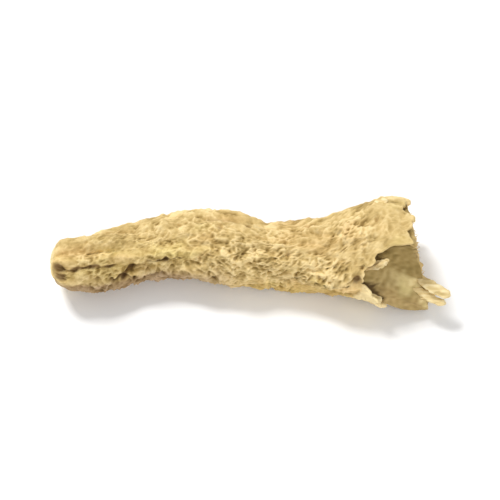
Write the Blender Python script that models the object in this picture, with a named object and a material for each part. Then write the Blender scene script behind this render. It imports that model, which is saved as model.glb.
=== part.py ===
"""Dried ginger root: one broken finger of the rhizome, lying on the side that it rests on.

The finger is one grown piece, so it is one solid. It runs along X from a blunt old end (-X) to a flared
end (+X) that was torn from the rest of the root. Its skin has shrunk into lengthwise wrinkles, with a deep
furrow low on the front. At the flare the skin is torn off the front, and bare hollowed flesh shows there.
Shape values are in millimetres, angles in degrees, and the mesh is made in metres.
A place on the skin is given by its distance along X and by its angle round the finger:
0 is the front (-Y), 90 the top, 180 the back and 270 the underside.
"""

import bmesh
import bpy
import numpy as np

MM = 0.001
FULL_TURN = 2 * np.pi

# How fine the solid is
AROUND = 56
CAP_RINGS = 8
BODY_RINGS = 62
FLESH_RINGS = 12
LEAST_BARED = 0.5
RIM_TRIES = 4

# The finger's run: its blunt end, where that end's rounding stops, and its torn end
BLUNT_X = -14.35
BLUNT_RADIUS = 1.9
TORN_X = 11.75
# Along, across, half width and half height of the finger's section
STATIONS = np.array(
    [
        (-14.5, -0.45, 2.10, 1.85),
        (-12.0, -0.28, 2.16, 1.96),
        (-9.0, 0.68, 2.10, 1.93),
        (-6.0, 1.24, 2.10, 1.96),
        (-3.5, 1.15, 2.46, 2.26),
        (-1.2, 0.80, 2.56, 2.42),
        (1.0, 0.47, 2.12, 2.16),
        (3.0, 0.18, 2.18, 2.14),
        (5.0, 0.00, 2.50, 2.32),
        (7.2, 0.10, 3.24, 2.84),
        (9.2, 0.14, 4.02, 3.18),
        (11.5, -0.68, 4.34, 3.24),
        (14.0, -1.05, 4.40, 3.14),
    ]
)
# Along, and how far the worn underside would stand below the surface before it is cut flat
UNDERSIDE = np.array(
    [
        (-14.5, -0.55),
        (-11.5, -0.16),
        (-8.6, 0.09),
        (-6.0, -0.05),
        (-3.0, -0.08),
        (0.8, 0.09),
        (3.8, -0.03),
        (6.0, -0.03),
        (9.0, 0.11),
        (14.0, -0.06),
    ]
)

# The blunt end's own lumps, which take the place of the wrinkles there: width, depth, seed
BLUNT_LUMPS = (1.9, 0.09, 61)
# Wrinkles of the shrunken skin: width, how many times longer than wide, depth, seed
BROAD_HOLLOWS = (6.0, 1.6, 0.16, 11)
MAIN_WRINKLES = (2.3, 3.2, 0.25, 23)
FINE_WRINKLES = (1.10, 2.3, 0.13, 37)
# How soft the valleys between wrinkles are, and the middle level of their height
VALLEY_SOFTNESS, MIDDLE_LEVEL = 0.02, 0.8
WRINKLE_RADIUS = 2.4
WRINKLE_TWIST = 0.03
WAVES = 48
# Where wrinkles start and are full on the blunt end's rounding
WRINKLES_FROM, WRINKLES_FULL = 0.35, 0.95
# How much smoother the worn underside is, and how far round it that starts and is full
WORN_SMOOTHER, WORN_FROM, WORN_FULL = 0.8, 0.6, 0.95

# The hollow low on the front, and three cracks along it: along, angle and depth
FURROW_HOLLOW = np.array([(-13.9, 44, 0), (-12.6, 40, 0.26), (-10, 34, 0.32), (-7, 22, 0.28), (-3.4, 20, 0)])
FURROW_CRACKS = np.array(
    [
        [(-13.7, 52, 0), (-12.9, 50, 0.36), (-11.8, 49, 0.34), (-10.6, 49, 0.42), (-9.9, 43, 0.30), (-9.2, 36, 0)],
        [(-9.3, 16, 0), (-8.7, 25, 0.40), (-7.9, 34, 0.42), (-7.0, 34, 0.42), (-5.6, 38, 0.34), (-4.4, 44, 0)],
        [(-11.6, 23, 0), (-10.9, 22, 0.20), (-10.0, 20, 0.24), (-9.4, 20, 0.30), (-8.7, 12, 0.22), (-7.9, 6, 0)],
    ]
)
HOLLOW_BELOW, HOLLOW_ABOVE = 0.75, 0.34
CRACK_BELOW, CRACK_ABOVE = 0.26, 0.17
# How far the hollow and cracks wander: angle in radians, width of the wander, seed
CRACK_WANDER = (0.035, 1.9, 5)
# Raised folds beside the hollow: the lip above it, and the lower lip
FURROW_FOLDS = (
    (np.array([(-14.0, 66, 0), (-12.5, 62, 0.16), (-9, 54, 0.20), (-6, 48, 0.16), (-3.0, 46, 0)]), 0.34),
    (np.array([(-13.8, 2, 0), (-12.0, -6, 0.14), (-8, -12, 0.18), (-4, -18, 0.12), (-1.0, -22, 0)]), 0.32),
)
# The curved crease behind the crest, under the swelling there
CREASE = np.array([(-4.2, 100, 0), (-3.2, 108, 0.20), (-1.8, 114, 0.28), (-0.4, 108, 0.20), (0.8, 97, 0)])
CREASE_WIDTH = 0.24
# Rings left by old leaf bases, along X, and their depth and half width
LEAF_RINGS = (-8.6, -2.9, 1.3, 5.2)
RING_DEPTH, RING_HALF_WIDTH = 0.09, 0.20
RING_WANDER = (0.35, 1.6, 100)
# Scars of small roots: along, angle, radius, depth
ROOT_SCARS = (
    (-13.5, 56, 0.36, 0.34),
    (-13.4, 26, 0.34, 0.30),
    (-9.6, 205, 0.55, 0.24),
    (-2.2, 85, 0.30, 0.22),
    (-0.3, 96, 0.28, 0.20),
    (3.9, 101, 0.36, 0.22),
    (3.0, 66, 0.32, 0.18),
    (-0.7, 8, 0.42, 0.20),
    (5.0, 2, 0.40, 0.22),
    (-5.4, 182, 0.60, 0.26),
    (7.4, 200, 0.65, 0.28),
)
# The lip round a root scar: its height as a share of the depth, and its place and width in radii
SCAR_LIP = (0.35, 1.35, 0.45)
# The round scar on the back where a side finger broke off: along, angle, radius, rim height, hollow
BRANCH_SCAR = (2.2, 186, 1.25, 0.26, 0.40)
# Its rim's width and where its hollow's side runs from and to, in radii
BRANCH_RIM_WIDTH, BRANCH_SIDE = 0.30, (0.35, 0.95)

# The torn end leans back by this much for each millimetre up and across
TORN_LEAN_UP, TORN_LEAN_BACK = 0.16, 0.14
# Where the torn skin ends at the front of the flare: angle, and place along X
TORN_EDGE = np.array(
    [
        (-60, 13.6),
        (-50, 12.2),
        (-41, 10.5),
        (-33, 9.2),
        (-26, 8.75),
        (-18, 8.7),
        (-8, 8.6),
        (2, 8.35),
        (13, 8.0),
        (22, 7.85),
        (32, 7.8),
        (43, 7.9),
        (50, 8.2),
        (57, 8.6),
        (63, 9.0),
        (67, 9.4),
        (72, 10.05),
        (77, 10.85),
        (83, 11.35),
        (92, 11.7),
        (102, 13.6),
    ]
)
# Teeth along the skin's torn edge: height, width, seed
SKIN_TEETH = (0.20, 1.2, 5)
SKIN_THICKNESS = 0.28
# How deep the torn flesh lies inside its rim, and the share of its radius over which it sinks
FLESH_RECESS, RECESS_RUN = 0.20, 0.2
FLESH_GRAIN = (1.1, 0.16, 71)
# The flat that the bare flesh is torn to: a point on it, its outward direction, and its grain
BARE_POINT = np.array((8.6, -3.15, 2.25))
BARE_OUT = np.array((0.23, -0.89, 0.39)) / np.linalg.norm((0.23, -0.89, 0.39))
BARE_GRAIN = (1.5, 2.0, 0.07, 83)
# The hollow under the torn skin there, and the ridge that runs from it down to the splinters
SCOOP_PLACE, SCOOP_RADIUS, SCOOP_DEPTH = (9.9, 3.9), 1.5, 0.50
RIDGE_FROM, RIDGE_TO, RIDGE_WIDTH, RIDGE_HEIGHT = (9.5, 3.0), (13.3, 1.1), 0.42, 0.26

# Torn strips of skin and fibre: root, tip, half width, thickness as a share of the width
STRIPS = (
    ((7.3, -2.60, 2.55), (9.15, -3.50, 1.95), 0.52, 0.40),
    ((11.1, -1.45, 2.80), (13.9, -3.20, 2.35), 0.46, 0.48),
    ((10.8, -1.90, 2.40), (13.6, -3.58, 1.96), 0.38, 0.48),
    ((8.3, 1.90, 4.95), (9.45, 2.95, 5.70), 0.48, 0.60),
)
# Short broken fibres that stand out of the torn end, on part of a ring round its middle
FIBRES = 7
FIBRES_FROM, FIBRES_TO = 100.0, 290.0
FIBRE_RING, FIBRE_SEED = 0.55, 44
# How deep a fibre's root lies, and the ranges of its angle's wander, its place on the ring,
# its reach past the torn face, its sideways lean, its half width and its thickness
FIBRE_ROOT = 1.0
FIBRE_WANDER, FIBRE_RING_RANGE, FIBRE_REACH = (-0.2, 0.2), (-0.25, 0.2), (-0.05, 0.35)
FIBRE_LEAN, FIBRE_HALF_WIDTH, FIBRE_THICKNESS = (-0.2, 0.2), (0.30, 0.45), (0.5, 0.8)
# Corners and rings of a strip, its bend, and how much narrower its tip is
STRIP_SIDES, STRIP_RINGS, STRIP_BEND, STRIP_NARROWING = 6, 4, 0.12, 0.5

SKIN_COLOUR = (0.655, 0.473, 0.191, 1.0)
SKIN_ROUGHNESS = 0.82


def clear_scene():
    """Removes every object, such as the startup cube."""
    for obj in list(bpy.data.objects):
        bpy.data.objects.remove(obj)


def smooth_step(low, high, value):
    """0 below low, 1 above high, and an S curve between."""
    t = np.clip((value - low) / (high - low), 0, 1)
    return t * t * (3 - 2 * t)


def bump(distance, width):
    """A bell curve that is 1 where the distance is 0."""
    return np.exp(-((distance / width) ** 2))


def through(table, column, x):
    """A smooth curve through a table's rows: cubic spans whose slopes are those of the neighbouring rows."""
    xs, ys = table[:, 0], table[:, column]
    slopes = np.gradient(ys, xs)
    i = np.clip(np.searchsorted(xs, x) - 1, 0, len(xs) - 2)
    span = xs[i + 1] - xs[i]
    t = np.clip((x - xs[i]) / span, 0, 1)
    start = (1 + 2 * t) * (1 - t) ** 2 * ys[i] + t * (1 - t) ** 2 * span * slopes[i]
    end = t * t * (3 - 2 * t) * ys[i + 1] - t * t * (1 - t) * span * slopes[i + 1]
    return start + end


def ripple(points, wavelength, seed):
    """Smooth noise of unit spread: the sum of plane waves that run in seeded random directions."""
    draw = np.random.default_rng(seed)
    waves = draw.normal(size=(3, WAVES))
    waves *= FULL_TURN * draw.uniform(0.7, 1.3, WAVES) / (wavelength * np.linalg.norm(waves, axis=0))
    phases = draw.uniform(0, FULL_TURN, WAVES)
    return np.cos(points @ waves + phases).sum(axis=-1) * np.sqrt(2 / WAVES)


def skin_place(x, angle, longer):
    """The place on an even tube, squeezed along X, at which a lengthwise pattern is read."""
    turned = angle + WRINKLE_TWIST * x
    return np.stack(
        [x / longer, -WRINKLE_RADIUS * np.cos(turned), WRINKLE_RADIUS * np.sin(turned)], axis=-1
    )


def wrinkles(x, angle, width, longer, depth, seed):
    """Rounded ridges with sharp valleys between: the size of a smooth noise, whose zeros are the valleys."""
    noise = ripple(skin_place(x, angle, longer), width, seed)
    return depth * (np.sqrt(noise * noise + VALLEY_SOFTNESS) - MIDDLE_LEVEL)


def round_gap(angle, degrees):
    """How far round the skin an angle lies past a centre given in degrees."""
    gap = (angle - np.radians(degrees) + np.pi) % FULL_TURN - np.pi
    return gap * WRINKLE_RADIUS


def along_line(line, x, angle, below, above):
    """A bell curve beside a line of (along, angle, depth) rows, as deep as the line says."""
    gap = round_gap(angle, through(line, 1, x))
    inside = (x > line[0, 0]) & (x < line[-1, 0])
    return through(line, 2, x) * inside * bump(gap, np.where(gap > 0, above, below))


def furrow(x, angle):
    """The hollow low on the front, the cracks in it and the raised folds beside it."""
    amount, width, seed = CRACK_WANDER
    wander = angle + amount * ripple(skin_place(x, angle, 1.0), width, seed)
    total = -along_line(FURROW_HOLLOW, x, wander, HOLLOW_BELOW, HOLLOW_ABOVE)
    for crack in FURROW_CRACKS:
        total -= along_line(crack, x, wander, CRACK_BELOW, CRACK_ABOVE)
    for fold, width in FURROW_FOLDS:
        total += along_line(fold, x, angle, width, width)
    return total


def leaf_rings(x, angle):
    """Faint rings round the finger, each a narrow wandering groove."""
    total = np.zeros_like(x)
    place = np.stack([0 * x, np.cos(angle), np.sin(angle)], axis=-1)
    amount, width, seed = RING_WANDER
    for n, ring_x in enumerate(LEAF_RINGS):
        total -= RING_DEPTH * bump(x - ring_x - amount * ripple(place, width, seed + n), RING_HALF_WIDTH)
    return total


def scars(x, angle):
    """Pits of small roots, and the rimmed hollow of the side finger."""
    total = np.zeros_like(x)
    lip, lip_place, lip_width = SCAR_LIP
    for along, degrees, radius, depth in ROOT_SCARS:
        distance = np.hypot(x - along, round_gap(angle, degrees)) / radius
        total += depth * (lip * bump(distance - lip_place, lip_width) - bump(distance, 1))
    along, degrees, radius, rim, hollow = BRANCH_SCAR
    distance = np.hypot(x - along, round_gap(angle, degrees)) / radius
    total += rim * bump(distance - 1, BRANCH_RIM_WIDTH)
    return total - hollow * (1 - smooth_step(*BRANCH_SIDE, distance))


def relief(x, angle):
    """How far the skin stands out from the smooth tube. The worn underside is smoother than the rest."""
    width, longer, depth, seed = BROAD_HOLLOWS
    total = depth * ripple(skin_place(x, angle, longer), width, seed)
    total += wrinkles(x, angle, *MAIN_WRINKLES) + wrinkles(x, angle, *FINE_WRINKLES)
    total += leaf_rings(x, angle) + scars(x, angle)
    total += furrow(x, angle) - along_line(CREASE, x, angle, CREASE_WIDTH, CREASE_WIDTH)
    return total * (1 - WORN_SMOOTHER * smooth_step(WORN_FROM, WORN_FULL, -np.sin(angle)))


def section(x):
    """Across, up, half width and half height of the smooth finger at x."""
    across, half_width, half_height = (through(STATIONS, column, x) for column in (1, 2, 3))
    return across, half_height - through(UNDERSIDE, 1, x), half_width, half_height


def skin_point(x, angle, inset=0.0):
    """The point of the wrinkled skin at a distance along and an angle round the finger, or inset below it."""
    across, up, half_width, half_height = section(x)
    before = np.clip((BLUNT_X + BLUNT_RADIUS - x) / BLUNT_RADIUS, 0, 1)
    rounding = np.sqrt(1 - before**2)
    out_y, out_z = -np.cos(angle) / half_width, np.sin(angle) / half_height
    size = np.hypot(out_y, out_z)
    smooth_y = across - rounding * half_width * np.cos(angle)
    smooth_z = up + rounding * half_height * np.sin(angle)
    smooth = np.stack([x, smooth_y, smooth_z], axis=-1)
    width, depth, seed = BLUNT_LUMPS
    wrinkled = smooth_step(WRINKLES_FROM, WRINKLES_FULL, rounding)
    raised = wrinkled * relief(x, angle) + (1 - wrinkled) * depth * ripple(smooth, width, seed) - inset
    outward = np.stack([-before, rounding * out_y / size, rounding * out_z / size], axis=-1)
    return smooth + raised[..., None] * outward


def torn_x(points):
    """Where the torn end lies along X, over the place of each point across and up."""
    across, up, _, _ = section(np.array(TORN_X))
    return TORN_X - TORN_LEAN_UP * (points[..., 2] - up) - TORN_LEAN_BACK * (points[..., 1] - across)


def bare_form(points):
    """How far the bare flesh stands out from its flat: grain, the hollow under the skin, and the ridge."""
    width, longer, depth, seed = BARE_GRAIN
    place = points[..., [0, 2]]
    start, run = np.array(RIDGE_FROM), np.array(RIDGE_TO) - np.array(RIDGE_FROM)
    share = np.clip((place - start) @ run / (run @ run), 0, 1)
    off_ridge = np.linalg.norm(place - start - share[..., None] * run, axis=-1)
    in_scoop = np.linalg.norm(place - SCOOP_PLACE, axis=-1)
    total = depth * ripple(points / [longer, 1, 1], width, seed)
    return total - SCOOP_DEPTH * bump(in_scoop, SCOOP_RADIUS) + RIDGE_HEIGHT * bump(off_ridge, RIDGE_WIDTH)


def flesh_point(x, angle):
    """The point of the flesh under the skin, drawn in along its radius to the bare flat where it is past it."""
    across, up, _, _ = section(x)
    centre = np.stack([x, across, up], axis=-1)
    radius = skin_point(x, angle, SKIN_THICKNESS) - centre
    room = (BARE_POINT - centre) @ BARE_OUT
    reach = np.maximum(radius @ BARE_OUT, 0.01)
    on_flat = centre + np.minimum(1, room / reach)[..., None] * radius
    share = np.minimum(1, (room + bare_form(on_flat)) / reach)
    return centre + share[..., None] * radius


def skin_rings(angle, skin_end):
    """Rings of skin from the blunt end's tip to the torn edge."""
    turn = np.linspace(0, np.pi / 2, CAP_RINGS + 1)[1:, None]
    cap = BLUNT_X + BLUNT_RADIUS * (1 - np.cos(turn)) + 0 * angle
    share = np.linspace(0, 1, BODY_RINGS + 1)[1:, None]
    body = cap[-1] + share * (skin_end - cap[-1])
    x = np.concatenate([cap, body])
    return skin_point(x, angle + 0 * x)


def flesh_rings(angle, skin_end):
    """Rings of flesh: from the skin's torn edge along the bare flat, then over the torn end to its middle."""
    flesh_end = np.full(AROUND, TORN_X)
    for _ in range(RIM_TRIES):
        flesh_end = torn_x(flesh_point(flesh_end, angle))
    rim = flesh_point(flesh_end, angle)
    bared = flesh_end - skin_end
    heart = rim.mean(axis=0)
    reach = np.linalg.norm(rim - heart, axis=-1)
    ring = np.arange(FLESH_RINGS)[:, None]
    on_flat = np.where(bared > LEAST_BARED, np.round(FLESH_RINGS * bared / (bared + reach)), 0)
    along = flesh_point(skin_end + bared * np.minimum(1, ring / np.maximum(on_flat, 1)), angle + 0 * ring)
    share = 1 - np.maximum(ring - on_flat, 0) / (FLESH_RINGS - on_flat)
    face = heart + (rim - heart) * share[..., None]
    width, depth, seed = FLESH_GRAIN
    sunk = FLESH_RECESS - depth * ripple(face * [0, 1, 1], width, seed)
    face[..., 0] = torn_x(face) - sunk * smooth_step(0, RECESS_RUN, 1 - share)
    return np.where((ring <= on_flat)[..., None], along, face)


def finger_mesh():
    """The finger's closed skin: quads between the rings and a fan at each end."""
    angle = np.arange(AROUND) * FULL_TURN / AROUND
    rim_x = torn_x(skin_point(np.full(AROUND, TORN_X), angle))
    front_edge = through(TORN_EDGE, 1, (np.degrees(angle) + 180) % 360 - 180)
    height, width, seed = SKIN_TEETH
    circle = WRINKLE_RADIUS * np.stack([0 * angle, np.cos(angle), np.sin(angle)], axis=-1)
    skin_end = np.minimum(front_edge, rim_x) + height * ripple(circle, width, seed)
    rings = np.concatenate([skin_rings(angle, skin_end), flesh_rings(angle, skin_end)])
    across, up, _, _ = section(np.array(BLUNT_X))
    tip = np.array([BLUNT_X, across, up])
    heart = rings[-1].mean(axis=0)
    points = np.concatenate([[tip], rings.reshape(-1, 3), [heart]])
    first = 1 + np.arange(len(rings) * AROUND).reshape(len(rings), AROUND)
    after = np.roll(first, -1, axis=1)
    quads = np.stack([first[:-1], first[1:], after[1:], after[:-1]], axis=-1).reshape(-1, 4)
    faces = quads.tolist()
    faces += [(0, int(a), int(b)) for a, b in zip(first[0], after[0])]
    faces += [(len(points) - 1, int(b), int(a)) for a, b in zip(first[-1], after[-1])]
    mesh = bpy.data.meshes.new("ginger_root")
    mesh.from_pydata((points * MM).tolist(), [], faces)
    return mesh


def strip_mesh(root, tip, half_width, thickness):
    """A flat, slightly bent spindle that thins from its root to a blunt tip."""
    root, tip = np.array(root), np.array(tip)
    line = tip - root
    side = np.cross(line, (0, 0, 1))
    side /= np.linalg.norm(side)
    top = np.cross(side, line) / np.linalg.norm(line)
    share = np.linspace(0, 1, STRIP_RINGS)[:, None, None]
    turn = (np.arange(STRIP_SIDES) * FULL_TURN / STRIP_SIDES)[None, :, None]
    radius = half_width * (1 - STRIP_NARROWING * share**2)
    centre = root + line * share + STRIP_BEND * np.sin(np.pi * share) * top
    rings = centre + radius * (np.cos(turn) * side + thickness * np.sin(turn) * top)
    bm = bmesh.new()
    loops = [[bm.verts.new(point * MM) for point in ring] for ring in rings]
    for before, after in zip(loops, loops[1:]):
        for i in range(STRIP_SIDES):
            j = (i + 1) % STRIP_SIDES
            bm.faces.new((before[i], before[j], after[j], after[i]))
    bm.faces.new(loops[0])
    bm.faces.new(loops[-1])
    bmesh.ops.recalc_face_normals(bm, faces=bm.faces)
    mesh = bpy.data.meshes.new("strip")
    bm.to_mesh(mesh)
    bm.free()
    return mesh


def fibre_strips():
    """Strips for the short fibres, at even angles on the torn face, with a seeded wander."""
    draw = np.random.default_rng(FIBRE_SEED)
    across, up, half_width, half_height = section(np.array(TORN_X))
    strips = []
    angles = np.radians(np.linspace(FIBRES_FROM, FIBRES_TO, FIBRES)) + draw.uniform(*FIBRE_WANDER, FIBRES)
    for angle in angles:
        reach = FIBRE_RING + draw.uniform(*FIBRE_RING_RANGE)
        y = across - reach * half_width * np.cos(angle)
        z = up + reach * half_height * np.sin(angle)
        root = np.array([0.0, y, z])
        root[0] = torn_x(root) - FIBRE_ROOT
        lean = [draw.uniform(*FIBRE_LEAN), draw.uniform(*FIBRE_LEAN)]
        tip = root + [FIBRE_ROOT + draw.uniform(*FIBRE_REACH), *lean]
        strips.append((root, tip, draw.uniform(*FIBRE_HALF_WIDTH), draw.uniform(*FIBRE_THICKNESS)))
    return strips


def fuse_strips(finger):
    """Joins every strip to the finger with one Boolean union, and removes the loose ones."""
    group = bpy.data.collections.new("strips")
    bpy.context.scene.collection.children.link(group)
    for n, strip in enumerate([*STRIPS, *fibre_strips()]):
        group.objects.link(bpy.data.objects.new(f"strip_{n}", strip_mesh(*strip)))
    union = finger.modifiers.new("fuse", "BOOLEAN")
    union.operation = "UNION"
    union.solver = "EXACT"
    union.operand_type = "COLLECTION"
    union.collection = group
    bpy.context.view_layer.objects.active = finger
    bpy.ops.object.modifier_apply(modifier=union.name)
    for piece in list(group.objects):
        bpy.data.objects.remove(piece)
    bpy.data.collections.remove(group)


def wear_flat(mesh):
    """Cuts the underside along the surface it rests on, and closes the cuts with flat faces."""
    bm = bmesh.new()
    bm.from_mesh(mesh)
    everything = [*bm.verts, *bm.edges, *bm.faces]
    bmesh.ops.bisect_plane(bm, geom=everything, plane_co=(0, 0, 0), plane_no=(0, 0, -1), clear_outer=True)
    open_edges = [edge for edge in bm.edges if edge.is_boundary]
    bmesh.ops.holes_fill(bm, edges=open_edges, sides=0)
    bmesh.ops.recalc_face_normals(bm, faces=bm.faces)
    bm.to_mesh(mesh)
    bm.free()


def centre_over_origin(mesh):
    """Moves the mesh so that the middle of its box lies over the origin."""
    points = np.array([vertex.co for vertex in mesh.vertices])
    middle = (points.min(axis=0) + points.max(axis=0)) / 2
    for vertex in mesh.vertices:
        vertex.co.x -= middle[0]
        vertex.co.y -= middle[1]


def skin_material():
    material = bpy.data.materials.new("dried_skin")
    material.use_nodes = True
    shader = material.node_tree.nodes["Principled BSDF"]
    shader.inputs["Base Color"].default_value = SKIN_COLOUR
    shader.inputs["Roughness"].default_value = SKIN_ROUGHNESS
    shader.inputs["Metallic"].default_value = 0.0
    return material


def build():
    clear_scene()
    finger = bpy.data.objects.new("ginger_root", finger_mesh())
    bpy.context.scene.collection.objects.link(finger)
    fuse_strips(finger)
    wear_flat(finger.data)
    centre_over_origin(finger.data)
    finger.data.materials.append(skin_material())
    finger.data.shade_smooth()


build()
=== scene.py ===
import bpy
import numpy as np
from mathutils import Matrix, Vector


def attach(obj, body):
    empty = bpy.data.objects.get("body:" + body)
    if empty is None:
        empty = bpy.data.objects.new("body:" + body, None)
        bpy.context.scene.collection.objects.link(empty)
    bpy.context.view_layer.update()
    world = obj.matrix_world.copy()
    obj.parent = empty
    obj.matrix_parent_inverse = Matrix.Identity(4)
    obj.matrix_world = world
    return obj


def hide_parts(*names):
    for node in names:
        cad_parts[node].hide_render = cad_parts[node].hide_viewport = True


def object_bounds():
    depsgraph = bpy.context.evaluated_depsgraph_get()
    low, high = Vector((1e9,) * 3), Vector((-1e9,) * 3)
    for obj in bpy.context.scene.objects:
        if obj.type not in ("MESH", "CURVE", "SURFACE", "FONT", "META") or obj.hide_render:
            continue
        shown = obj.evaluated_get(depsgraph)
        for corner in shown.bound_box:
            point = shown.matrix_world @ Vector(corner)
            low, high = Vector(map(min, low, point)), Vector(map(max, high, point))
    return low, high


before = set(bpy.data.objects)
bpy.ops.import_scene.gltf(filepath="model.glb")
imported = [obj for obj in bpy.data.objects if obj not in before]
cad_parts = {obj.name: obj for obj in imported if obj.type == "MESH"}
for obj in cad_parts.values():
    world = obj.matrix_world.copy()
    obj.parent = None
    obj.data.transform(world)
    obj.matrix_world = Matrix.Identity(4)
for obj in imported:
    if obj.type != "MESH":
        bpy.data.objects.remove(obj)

# Dried ginger root: the dressed finger, its torn end, floor, light and camera.
# The form is the CAD solid's, worked out from the same named values on much finer grids.
# It differs in two places: the cracks are narrower and deeper, with ragged sides, and low on the flare's
# front the skin ends further back, so that the bare flesh forms the outline there.
# Shape values are in millimetres and angles in degrees, and meshes are made in metres.
# A place on the skin is its distance along X and its angle round the finger:
# 0 is the front (-Y), 90 the top, 180 the back and 270 the underside.
# A pair named RAMP holds the two values between which something grows from nothing to full.
# The stretch of a pattern on the shape is how many times longer than wide it is.

cad_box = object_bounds()

MM = 0.001
FULL_TURN = 2 * np.pi
# What a divisor is never below
LEAST = 0.01
# Where the CAD solid's origin lies in the values below
MIDDLE = np.array((-0.187, 0.200, 0.0))

# The finger's form, as in the CAD source

# Where the blunt end starts along X, the length of its rounding, and the middle of the torn end
BLUNT_X, BLUNT_RADIUS, TORN_X = -14.35, 1.9, 11.75
# Along, across, half width and half height of the finger's section
STATIONS = np.array([
    (-14.5, -0.45, 2.10, 1.85), (-12.0, -0.28, 2.16, 1.96), (-9.0, 0.68, 2.10, 1.93), (-6.0, 1.24, 2.10, 1.96),
    (-3.5, 1.15, 2.46, 2.26), (-1.2, 0.80, 2.56, 2.42), (1.0, 0.47, 2.12, 2.16), (3.0, 0.18, 2.18, 2.14),
    (5.0, 0.00, 2.50, 2.32), (7.2, 0.10, 3.24, 2.84), (9.2, 0.14, 4.02, 3.18), (11.5, -0.68, 4.34, 3.24),
    (14.0, -1.05, 4.40, 3.14),
])
# Along, and how far the worn underside would stand below the surface before it is cut flat
UNDERSIDE = np.array([
    (-14.5, -0.55), (-11.5, -0.16), (-8.6, 0.09), (-6.0, -0.05), (-3.0, -0.08), (0.8, 0.09), (3.8, -0.03),
    (6.0, -0.03), (9.0, 0.11), (14.0, -0.06),
])
# Low lumps on the blunt end's rounding: height, width, seed
BLUNT_LUMPS = (0.09, 1.9, 61)
# Wrinkles of the shrunken skin: width, stretch, depth, seed
BROAD_HOLLOWS = (6.0, 1.6, 0.16, 11)
MAIN_WRINKLES = (2.3, 3.2, 0.21, 23)
FINE_WRINKLES = (1.10, 2.3, 0.08, 37)
# How soft the valleys between wrinkles are, and the middle level of their height
VALLEY_SOFTNESS, MIDDLE_LEVEL = 0.02, 0.8
# The even tube on which patterns are read: radius, and twist in radians a millimetre
WRINKLE_RADIUS, WRINKLE_TWIST = 2.4, 0.03
# Plane waves in a smooth noise, and how their lengths differ
WAVES, WAVE_SPREAD = 48, (0.7, 1.3)
# Where wrinkles come in on the blunt end's rounding
WRINKLES_RAMP = (0.35, 0.95)
# How much smoother the worn underside is, and how far down
WORN_SMOOTHER, WORN_RAMP = 0.8, (0.6, 0.95)
# Lines on the skin, in rows of along, angle and depth: first the hollow low on the front and its cracks
FURROW_HOLLOW = np.array([(-13.9, 44, 0), (-12.6, 40, 0.26), (-10, 34, 0.32), (-7, 22, 0.28), (-3.4, 20, 0)])
FURROW_CRACKS = np.array([
    [(-13.7, 52, 0), (-12.9, 50, 0.36), (-11.8, 49, 0.34), (-10.6, 49, 0.42), (-9.9, 43, 0.30), (-9.2, 36, 0)],
    [(-9.3, 16, 0), (-8.7, 25, 0.40), (-7.9, 34, 0.42), (-7.0, 34, 0.42), (-5.6, 38, 0.34), (-4.4, 44, 0)],
    [(-11.6, 23, 0), (-10.9, 22, 0.20), (-10.0, 20, 0.24), (-9.4, 20, 0.30), (-8.7, 12, 0.22), (-7.9, 6, 0)],
])
# Their widths below and above, and how much deeper the cracks are than the CAD's
HOLLOW_BELOW, HOLLOW_ABOVE = 0.75, 0.34
CRACK_BELOW, CRACK_ABOVE, CRACK_DEEPER = 0.20, 0.13, 1.10
# How the cracks wander, and how ragged their sides are: amount in radians, width, seed
CRACK_WANDER = (0.035, 1.9, 5)
CRACK_RAGGED = (0.030, 0.60, 19)
# How their depth comes and goes: share, width, seed, and its least and most
CRACK_BREAKS, CRACK_LEAST, CRACK_MOST = (0.45, 1.1, 29), 0.3, 1.5
# The raised folds above and below the hollow: line, width
FURROW_FOLDS = (
    (np.array([(-14.0, 66, 0), (-12.5, 62, 0.16), (-9, 54, 0.20), (-6, 48, 0.16), (-3.0, 46, 0)]), 0.34),
    (np.array([(-13.8, 2, 0), (-12.0, -6, 0.14), (-8, -12, 0.18), (-4, -18, 0.12), (-1.0, -22, 0)]), 0.32),
)
# The crease behind the swelling's crest
CREASE = np.array([(-4.2, 100, 0), (-3.2, 108, 0.20), (-1.8, 114, 0.28), (-0.4, 108, 0.20), (0.8, 97, 0)])
CREASE_WIDTH = 0.24
# Faint rings where leaves stood: places along X, depth, width, and wander: amount, width, seed
LEAF_RINGS = (-8.6, -2.9, 1.3, 5.2)
RING_DEPTH, RING_WIDTH = 0.09, 0.20
RING_WANDER = (0.35, 1.6, 100)
# Scars of small roots: along, angle, radius, depth
ROOT_SCARS = (
    (-13.5, 51, 0.36, 0.24), (-13.35, 27, 0.34, 0.20), (-9.6, 205, 0.55, 0.24), (-2.3, 91, 0.26, 0.24),
    (-0.35, 108, 0.24, 0.24), (3.9, 119, 0.26, 0.22), (2.5, 62, 0.24, 0.20), (-0.7, 8, 0.42, 0.14),
    (5.0, 2, 0.40, 0.16), (-5.4, 182, 0.60, 0.26), (7.4, 200, 0.65, 0.28),
)
# The lip round a root scar: its share of the depth, and its place and width in radii
SCAR_LIP = (0.35, 1.35, 0.45)
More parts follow.
